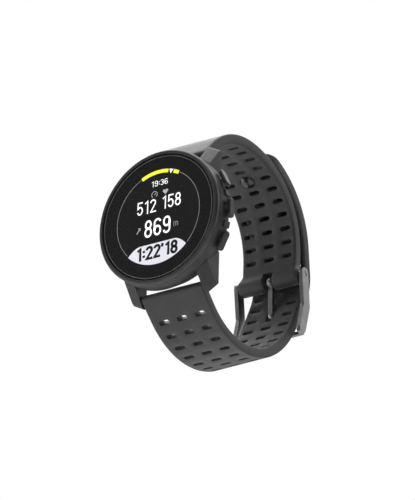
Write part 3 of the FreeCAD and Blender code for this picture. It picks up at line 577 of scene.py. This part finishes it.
def make_strap(name, body, half, hand):
    """One half of the strap, with a notch in its root for the release lever."""
    item = add_mesh(name, half.points, half.faces, LOOKS["strap_silicone"], body)
    carve(item, box_cutter("notch", (LEVER_FROM, PIVOT_Y + 0.1, hand * PIVOT_Z - THICK),
                           (LEVER_TO, PIVOT_Y + 4, hand * PIVOT_Z + THICK)))
    item.data.materials.clear()
    item.data.materials.append(LOOKS["strap_silicone"])
    for face in item.data.polygons:
        face.use_smooth = True
        face.material_index = 0
    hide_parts(name.replace("_silicone", ""))


def round_root(place):
    """Half the thickness near the root, which is rolled round its spring bar."""
    return math.sqrt(max(0.0, THICK ** 2 - min(0.0, place) ** 2))


STEP = 1.7                                     # between the stations of a plain stretch
QUARTER = (15, 30, 45, 60, 75, 90)
ROOT = [-THICK * math.cos(math.radians(turn)) for turn in (0, *QUARTER)]

# the upper half ends in the two knuckles that hold the buckle's bar
UPPER_LENGTH = upper_way.length()
KNUCKLE_START = UPPER_LENGTH - KNUCKLE_RUN
KNUCKLE_JOIN = 1.6                             # so far before the bar the swell meets the knuckle
NOTCH = UPPER_LENGTH - 2.7                     # where the tongue's gap begins


def upper_depth(place):
    """Half the thickness of the upper half: it swells into the knuckles at its far end."""
    if place < KNUCKLE_START:
        return round_root(place)
    ahead = place - UPPER_LENGTH
    if ahead >= -KNUCKLE_JOIN:
        return math.sqrt(max(0.0, BAR_KNUCKLE ** 2 - ahead ** 2))
    share = (place - KNUCKLE_START) / (UPPER_LENGTH - KNUCKLE_JOIN - KNUCKLE_START)
    joined = math.sqrt(BAR_KNUCKLE ** 2 - KNUCKLE_JOIN ** 2)
    return THICK + (joined - THICK) * share ** KNUCKLE_SWELLS


def upper_half(place):
    """Half the width of the upper half, which widens smoothly to the knuckles."""
    swell = min(1.0, max(0.0, (place - KNUCKLE_START) / KNUCKLE_WIDENS))
    return (taper(upper_way, min(place, UPPER_LENGTH))
            + (KNUCKLE_HALF - TAIL_HALF) * swell * swell * (3 - 2 * swell))


make_strap("upper_strap_silicone", "upper_strap", strap_half(
    upper_way, upper_half, upper_depth, before=ROOT + [STEP * k for k in range(1, 12)],
    first=22.95, pitch=4.47, rows=11,
    after=[KNUCKLE_START] + [NOTCH + k for k in (0.0, 0.55, 1.1, 1.6, 2.2)] + [UPPER_LENGTH]
    + [UPPER_LENGTH + BAR_KNUCKLE * math.sin(math.radians(turn)) for turn in QUARTER],
    notch_from=NOTCH), 1)

# the lower half: its tail passes through the buckle and lies outside the upper half
LOWER_LENGTH = lower_way.length()


def lower_half(place):
    """Half the width of the lower half, whose tip has rounded corners."""
    beyond = place - (LOWER_LENGTH - TIP)
    half = taper(lower_way, min(place, LOWER_LENGTH))
    if beyond > 0:
        half -= TIP - math.sqrt(max(0.0, TIP ** 2 - beyond ** 2))
    return half


def lower_depth(place):
    """Half the thickness of the lower half: round at the root, eased at the tip."""
    beyond = place - (LOWER_LENGTH - TIP_EASE)
    if beyond > 0:
        return THICK - TIP_EASE + math.sqrt(max(0.0, TIP_EASE ** 2 - beyond ** 2))
    return round_root(place)


make_strap("lower_strap_silicone", "lower_strap", strap_half(
    lower_way, lower_half, lower_depth, before=ROOT + [STEP, 2 * STEP],
    first=7.6, pitch=4.66, rows=22,
    after=[LOWER_LENGTH - k for k in (9.3, 7.7, 6.0, TIP, 2.9, 1.9, 1.1, TIP_EASE, 0.6, 0.35,
                                      0.15, 0.04, 0.0)], tall_row=12), -1)


# ---------------------------------------------------------------- springs

TURN_STEPS, WIRE_CORNERS = 20, 8


def coil(name, body, start, along, radius, wire, length, pitch):
    """A spring of round wire from start along a direction."""
    along = Vector(along).normalized()
    across = along.cross(Vector((0, 1, 0))).normalized()
    other = along.cross(across)
    steps = int(length / pitch * TURN_STEPS)
    points, faces = [], []
    for k in range(steps + 1):
        turn = 2 * math.pi * k / TURN_STEPS
        out = across * math.cos(turn) + other * math.sin(turn)
        rise = wire + (length - 2 * wire) * k / steps
        centre = Vector(start) + along * rise + out * radius
        for corner in range(WIRE_CORNERS):
            around = 2 * math.pi * corner / WIRE_CORNERS
            points.append(centre + (out * math.cos(around) + along * math.sin(around)) * wire)
    for k in range(steps):
        for corner in range(WIRE_CORNERS):
            a = WIRE_CORNERS * k + corner
            b = WIRE_CORNERS * k + (corner + 1) % WIRE_CORNERS
            faces.append([a, b, b + WIRE_CORNERS, a + WIRE_CORNERS])
    faces.append(list(range(WIRE_CORNERS)))
    faces.append([WIRE_CORNERS * steps + corner for corner in range(WIRE_CORNERS)][::-1])
    item = add_mesh(name + "_coil", points, faces, LOOKS["steel"], body)
    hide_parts(name)
    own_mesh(item)


BUTTON_Y = FACE + 5.95                         # the y of the buttons' middle lines
SPRING_SEAT = 20.34                            # how far from the Y axis their springs stand
for name, turn in (("upper", 27.0), ("middle", 0.0), ("lower", -27.0)):
    along = Vector((math.cos(math.radians(turn)), 0.0, math.sin(math.radians(turn))))
    coil(name + "_button_spring", "case",
         Vector((0.0, BUTTON_Y, 0.0)) + along * SPRING_SEAT, along,
         radius=0.85, wire=0.1, length=1.5, pitch=0.5)
for name, hand in (("upper", 1), ("lower", -1)):
    coil(name + "_bar_spring", name + "_strap",
         (0.8, PIVOT_Y, hand * PIVOT_Z), (1, 0, 0),
         radius=0.38, wire=0.08, length=5.2, pitch=0.62)


# ---------------------------------------------------------------- display

SCREEN = FACE + 0.30                           # graphics lie between the crystal and the panel
UPPER_LAYER = SCREEN - 0.018                   # graphics that lie over others
white_ink = finish("display_white", (0.85, 0.85, 0.86), 0.4, vary=0.03, bump=0.001,
                   glow=(1.0, 1.0, 1.0), strength=1.25)
field_ink = finish("display_field", (0.8, 0.8, 0.86), 0.4, vary=0.05, bump=0.001, cloud=900,
                   glow=(0.84, 0.84, 0.93), strength=0.8)
light_grey_ink = finish("display_light_grey", (0.5, 0.5, 0.5), 0.4, vary=0.05, bump=0.001,
                        glow=(0.45, 0.45, 0.45), strength=0.9)
grey_ink = finish("display_grey", (0.3, 0.3, 0.3), 0.4, vary=0.05, bump=0.001,
                  glow=(0.3, 0.3, 0.3), strength=0.75)
yellow_ink = finish("display_yellow", (0.8, 0.8, 0.05), 0.4, vary=0.05, bump=0.001,
                    glow=(0.86, 0.84, 0.03), strength=1.2)
black_ink = finish("display_black", (0.004, 0.004, 0.004), 0.4, vary=0.05, bump=0.001)
face_ink = finish("display_black_face", (0.007, 0.007, 0.008), 0.5, vary=0.25, bump=0.001,
                  cloud=60, specular=0.3)
# a pale grey ring painted on the crystal's chamfer: a painted highlight of that edge
rim_highlight_ink = finish("crystal_rim_painted_highlight", (0.3, 0.3, 0.31), 0.35, vary=0.2, bump=0.001, cloud=120)
border_ink = finish("printed_border", (0.004, 0.004, 0.0045), 0.3, vary=0.1, bump=0.001)


def flat(name, outlines, look, depth=SCREEN, thick=0.012):
    """Thin flat shapes on the display: each outline is a strip of (left, right) point pairs."""
    points, faces = [], []
    for strip in outlines:
        start = len(points)
        for left, right in strip:
            for x, z in (left, right):
                points += [(x, depth, z), (x, depth + thick, z)]
        for k in range(len(strip) - 1):
            a = start + 4 * k
            b = a + 4
            faces += [[a, a + 2, b + 2, b], [a + 1, b + 1, b + 3, a + 3],
                      [a, b, b + 1, a + 1], [a + 2, a + 3, b + 3, b + 2]]
        end = start + 4 * (len(strip) - 1)
        faces += [[start, start + 1, start + 3, start + 2], [end, end + 2, end + 3, end + 1]]
    return add_mesh(name, points, faces, look, "case", smooth=False)


def bow(centre, radii, start, end, steps=10):
    """Points on an elliptical arc; angles are in degrees, anticlockwise from +X."""
    return [(centre[0] + radii[0] * math.cos(math.radians(start + (end - start) * k / steps)),
             centre[1] + radii[1] * math.sin(math.radians(start + (end - start) * k / steps)))
            for k in range(steps + 1)]


def stroke(path, width, closed=False):
    """A ribbon of even width along a path, mitred at its corners."""
    strip = []
    count = len(path)
    for k in range(count + (1 if closed else 0)):
        here = Vector(path[k % count])
        before = Vector(path[(k - 1) % count]) if closed or k else None
        after = Vector(path[(k + 1) % count]) if closed or k < count - 1 else None
        into = (here - before).normalized() if before else (after - here).normalized()
        out = (after - here).normalized() if after else into
        along = (into + out).normalized()
        normal = Vector((-along.y, along.x))
        reach = width / 2 / max(0.55, normal.dot(Vector((-into.y, into.x))))
        strip.append((tuple(here + normal * reach), tuple(here - normal * reach)))
    return strip


# figures, as middle lines of their strokes in a box 0.4 wide and 0.86 high
SIX = (bow((0.2, 0.66), (0.2, 0.2), 15, 180) + [(0.0, 0.24)]
       + bow((0.2, 0.24), (0.2, 0.24), 180, 540, 20)[1:])
FIGURES = {
    "1": [[(0.02, 0.70), (0.24, 0.86), (0.24, -0.07)]],
    "2": [bow((0.2, 0.65), (0.2, 0.21), 175, -25) + [(0.01, 0.0), (0.47, 0.0)]],
    "3": [bow((0.2, 0.655), (0.19, 0.205), 165, -90), bow((0.2, 0.225), (0.2, 0.225), 90, -165)],
    "5": [[(0.43, 0.86), (0.04, 0.86), (0.02, 0.44)]
          + bow((0.2, 0.27), (0.2, 0.27), 130, -160, 14)],
    "6": [SIX],
    "8": [bow((0.2, 0.655), (0.175, 0.205), -90, 270, 20),
          bow((0.2, 0.225), (0.2, 0.225), -90, 270, 20)],
    "9": [[(0.4 - x, 0.86 - z) for x, z in SIX]],
    ":": [[(0.03, 0.15), (0.03, 0.32)], [(0.03, 0.52), (0.03, 0.69)]],
    "'": [[(0.02, 0.93), (-0.01, 0.66)]],
}
ADVANCE = {":": 0.26, "'": 0.26, "1": 0.5}     # from one figure to the next
WIDE = 0.62                                    # the same for all others
MARGIN = 0.07                                  # half a stroke, left free round the figures


def figures(name, text, x, z, width, height, look, weight, depth=SCREEN):
    """A row of figures in a box with its lower left corner at x, z; it ends in a wide figure."""
    strips, pen = [], 0.0
    for mark in text:
        for path in FIGURES[mark]:
            loop = (Vector(path[0]) - Vector(path[-1])).length < SAME
            line = [(pen + px, pz + MARGIN) for px, pz in path]
            strips.append(stroke(line[:-1] if loop else line, weight, loop))
        pen += ADVANCE.get(mark, WIDE)
    scale = width / (pen - WIDE + 0.4 + 2 * MARGIN)
    strips = [[tuple((x + (px + MARGIN) * scale, z + pz * height) for px, pz in pair)
               for pair in strip] for strip in strips]
    return flat(name, strips, look, depth)


def dial(angle, radius):
    """A point on the dial; angles run clockwise from 12 o'clock."""
    return radius * math.sin(math.radians(angle)), radius * math.cos(math.radians(angle))


def dial_band(inner, outer, start, end, steps=48):
    """A strip round the dial between two radii, from one angle to another."""
    return [(dial(start + (end - start) * k / steps, inner),
             dial(start + (end - start) * k / steps, outer)) for k in range(steps + 1)]


RING, ARC, MARKER_TOP = (14.86, 15.02), (14.2, 15.45), 15.6     # radii on the dial
flat("crystal_border", [dial_band(15.35, 19.78, 0, 360, 128)], border_ink, FACE + 0.27, 0.008)
flat("display_face", [dial_band(0.0, 15.4, 0, 360, 96)], face_ink, SCREEN + 0.03, 0.01)
# the painted highlight of the crystal's chamfer, a thin grey ring just inside the bezel
flat("crystal_rim_painted_highlight", [dial_band(19.36, 19.52, 0, 360, 128)], rim_highlight_ink, FACE + 0.245, 0.008)
flat("display_ring", [dial_band(*RING, 30, 134, 40), dial_band(*RING, 227, 334.5, 40)], grey_ink)
flat("display_arc", [dial_band(*ARC, -25, 12.6), dial_band(*ARC, 20.6, 28.5, 8)], yellow_ink,
     UPPER_LAYER, 0.01)
flat("display_marker", [[(dial(13.2, MARKER_TOP), dial(13.2, MARKER_TOP)),
                         (dial(20.0, MARKER_TOP), dial(16.8, 13.9))]], white_ink,
     UPPER_LAYER, 0.01)

# the figures, x and z of their lower left corner, their width and height, the strokes' weight
figures("display_clock", "19:36", -2.9, 10.2, 6.1, 1.9, white_ink, 0.095)
figures("display_pace", "512", -7.9, 1.95, 7.0, 4.4, white_ink, 0.105)
figures("display_pulse", "158", 1.15, 2.2, 7.0, 4.35, white_ink, 0.105)
figures("display_height", "869", -5.0, -5.95, 9.6, 5.8, white_ink, 0.112)
figures("display_lap", "1:22'18", -7.6, -13.05, 14.9, 4.22, black_ink, 0.2,
        depth=UPPER_LAYER)


FIELD_HALF, FIELD_RADIUS = 10.5, 15.1          # half the field's length, its lower edge
FIELD_ENDS, FIELD_SHIFT = 4.4, 0.12            # how long its curved ends are; it lies to the left
FIELD_LOW, FIELD_RISE = -10.85, 2.62           # z of its upper edge at its ends, its rise inwards


def lens_field():
    """The white field at 6 o'clock: flat on top, round below."""
    strip, steps = [], 60
    for k in range(steps + 1):
        x = -FIELD_HALF + 2 * FIELD_HALF * k / steps
        low = -math.sqrt(FIELD_RADIUS ** 2 - x * x)
        rise = min(1.0, (FIELD_HALF - abs(x)) / FIELD_ENDS)
        top = FIELD_LOW + FIELD_RISE * math.sin(rise * math.pi / 2) ** 0.9
        strip.append(((x - FIELD_SHIFT, top), (x - FIELD_SHIFT, min(low, top - 1e-3))))
    return strip


def heart(middle, z, half):
    """A heart: two round bows over a point."""
    strip, steps = [], 24
    for k in range(steps + 1):
        share = 2 * k / steps - 1
        top = 0.55 * math.sqrt(max(0.0, 1 - (2 * abs(share) - 1) ** 2))
        low = -1.1 * (1 - abs(share))
        strip.append(((middle + half * share, z + 0.05 + top), (middle + half * share, z + low)))
    return strip


flat("display_field", [lens_field()], field_ink)
flat("display_gauge", [stroke(bow((-1.6, 7.65), (1.0, 1.0), -50, 230, 24), 0.2),
                       stroke([(-1.6, 7.5), (-1.15, 8.0)], 0.22)], light_grey_ink,
     UPPER_LAYER, 0.01)
flat("display_arrow", [
    stroke([(-7.7, -3.9), (-6.5, -2.3)], 0.3),
    stroke([(-7.15, -2.25), (-6.5, -2.3), (-6.5, -3.0)], 0.24)], light_grey_ink,
     UPPER_LAYER, 0.01)
flat("display_icons", [                        # the unit, an m
    stroke([(5.75, -4.3), (5.75, -2.9), (6.3, -2.9)], 0.22),
    stroke([(6.3, -2.9), (6.5, -3.1), (6.5, -4.3)], 0.22),
    stroke([(6.5, -3.1), (6.9, -2.9), (7.2, -3.1), (7.2, -4.3)], 0.22)], grey_ink,
     UPPER_LAYER, 0.01)
flat("display_heart", [heart(2.4, 8.0, 0.98)], light_grey_ink, UPPER_LAYER, 0.01)


# ---------------------------------------------------------------- stage, lights and camera
# lights and floor are in metres

FLOOR = -0.2
MIDPOINT = (cad_box[0] + cad_box[1]) / 2


def stage_floor():
    """A wide round floor well below the watch."""
    mesh = bpy.data.meshes.new("floor")
    work = bmesh.new()
    bmesh.ops.create_circle(work, cap_ends=True, radius=6.0, segments=96)
    work.to_mesh(mesh)
    work.free()
    item = bpy.data.objects.new("floor", mesh)
    item.location.z = FLOOR
    bpy.context.scene.collection.objects.link(item)
    item.data.materials.append(finish("pale_floor", (0.86, 0.86, 0.86), 0.8, vary=0.02,
                                      grain=300, bump=0.0, cloud=3, specular=0.1))


def softbox(name, direction, distance, size, watts):
    """A soft rectangular light that looks at the middle of the watch from a direction."""
    lamp = bpy.data.lights.new(name, "AREA")
    lamp.shape = "RECTANGLE"
    lamp.size, lamp.size_y = size
    lamp.energy = watts
    item = bpy.data.objects.new(name, lamp)
    away = Vector(direction).normalized()
    item.location = MIDPOINT + away * distance
    item.rotation_mode = "QUATERNION"
    item.rotation_quaternion = away.to_track_quat("Z", "Y")
    bpy.context.scene.collection.objects.link(item)


def studio():
    """The room's light, which fades towards the ground; the camera sees white paper instead."""
    world = bpy.data.worlds.new("studio")
    bpy.context.scene.world = world
    world.use_nodes = True
    tree = world.node_tree
    tree.nodes.clear()
    place = node(tree, "ShaderNodeTexCoord")
    split = node(tree, "ShaderNodeSeparateXYZ")
    tree.links.new(place.outputs["Generated"], split.inputs["Vector"])
    height = ranged(tree, split.outputs["Z"], 0.05, 0.22, -0.6, 0.8)
    room = node(tree, "ShaderNodeBackground")
    tree.links.new(height, room.inputs["Strength"])
    paper = node(tree, "ShaderNodeBackground")
    paper.inputs["Color"].default_value = (1.0, 1.0, 1.0, 1.0)
    paper.inputs["Strength"].default_value = 1.0
    rays = node(tree, "ShaderNodeLightPath")
    mix = node(tree, "ShaderNodeMixShader")
    tree.links.new(rays.outputs["Is Camera Ray"], mix.inputs["Fac"])
    tree.links.new(room.outputs["Background"], mix.inputs[1])
    tree.links.new(paper.outputs["Background"], mix.inputs[2])
    output = node(tree, "ShaderNodeOutputWorld")
    tree.links.new(mix.outputs["Shader"], output.inputs["Surface"])


stage_floor()
studio()
softbox("top_light", (-0.15, -0.35, 1.0), 0.6, (0.6, 0.5), 1.4)
softbox("left_light", (-1.0, -0.55, 0.1), 0.7, (0.4, 0.7), 1.6)
softbox("front_light", (-0.1, -0.8, -0.75), 0.8, (0.5, 0.5), 1.3)
softbox("behind_light", (-0.54, 0.6, 0.6), 0.6, (0.35, 0.3), 1.0)
softbox("arm_light", (0.535, 0.744, 0.402), 0.6, (0.36, 0.36), 0.45)
sky_light = bpy.data.lights.new("sky_light", "SUN")
sky_light.energy = 1.95
sky_light.angle = math.radians(70)
sky = bpy.data.objects.new("sky_light", sky_light)
sky.rotation_mode = "QUATERNION"
sky.rotation_quaternion = Vector((-0.15, 0.35, 1.0)).to_track_quat("Z", "Y")
bpy.context.scene.collection.objects.link(sky)

bpy.context.scene.view_settings.view_transform = "Standard"

# the camera looks from the right, in front and below, a little to the side of the dial's centre
BACK = Vector((0.535, -0.744, -0.402)).normalized()
LEVEL = Vector((0.818, 0.575, 0.026))          # to the right, but not quite square to BACK
RIGHT = (LEVEL - BACK * LEVEL.dot(BACK)).normalized()
UP = BACK.cross(RIGHT)
VIEW_HEIGHT = 148.7                            # millimetres seen from top to bottom
AIM_RIGHT, AIM_DOWN = 14.82, 9.89              # from the dial's centre to the picture's, in mm
CAMERA_BACK = 0.24                             # metres from there to the camera
camera = bpy.data.cameras.new("camera")
camera.type = "ORTHO"
camera.ortho_scale = VIEW_HEIGHT * MM
camera.clip_start, camera.clip_end = 0.001, 20.0
eye = bpy.data.objects.new("camera", camera)
aim = Vector((0.0, FACE, 0.0)) * MM + RIGHT * AIM_RIGHT * MM - UP * AIM_DOWN * MM
eye.matrix_world = Matrix.Translation(aim + BACK * CAMERA_BACK) @ Matrix(
    (RIGHT, UP, BACK)).transposed().to_4x4()
bpy.context.scene.collection.objects.link(eye)
bpy.context.scene.camera = eye
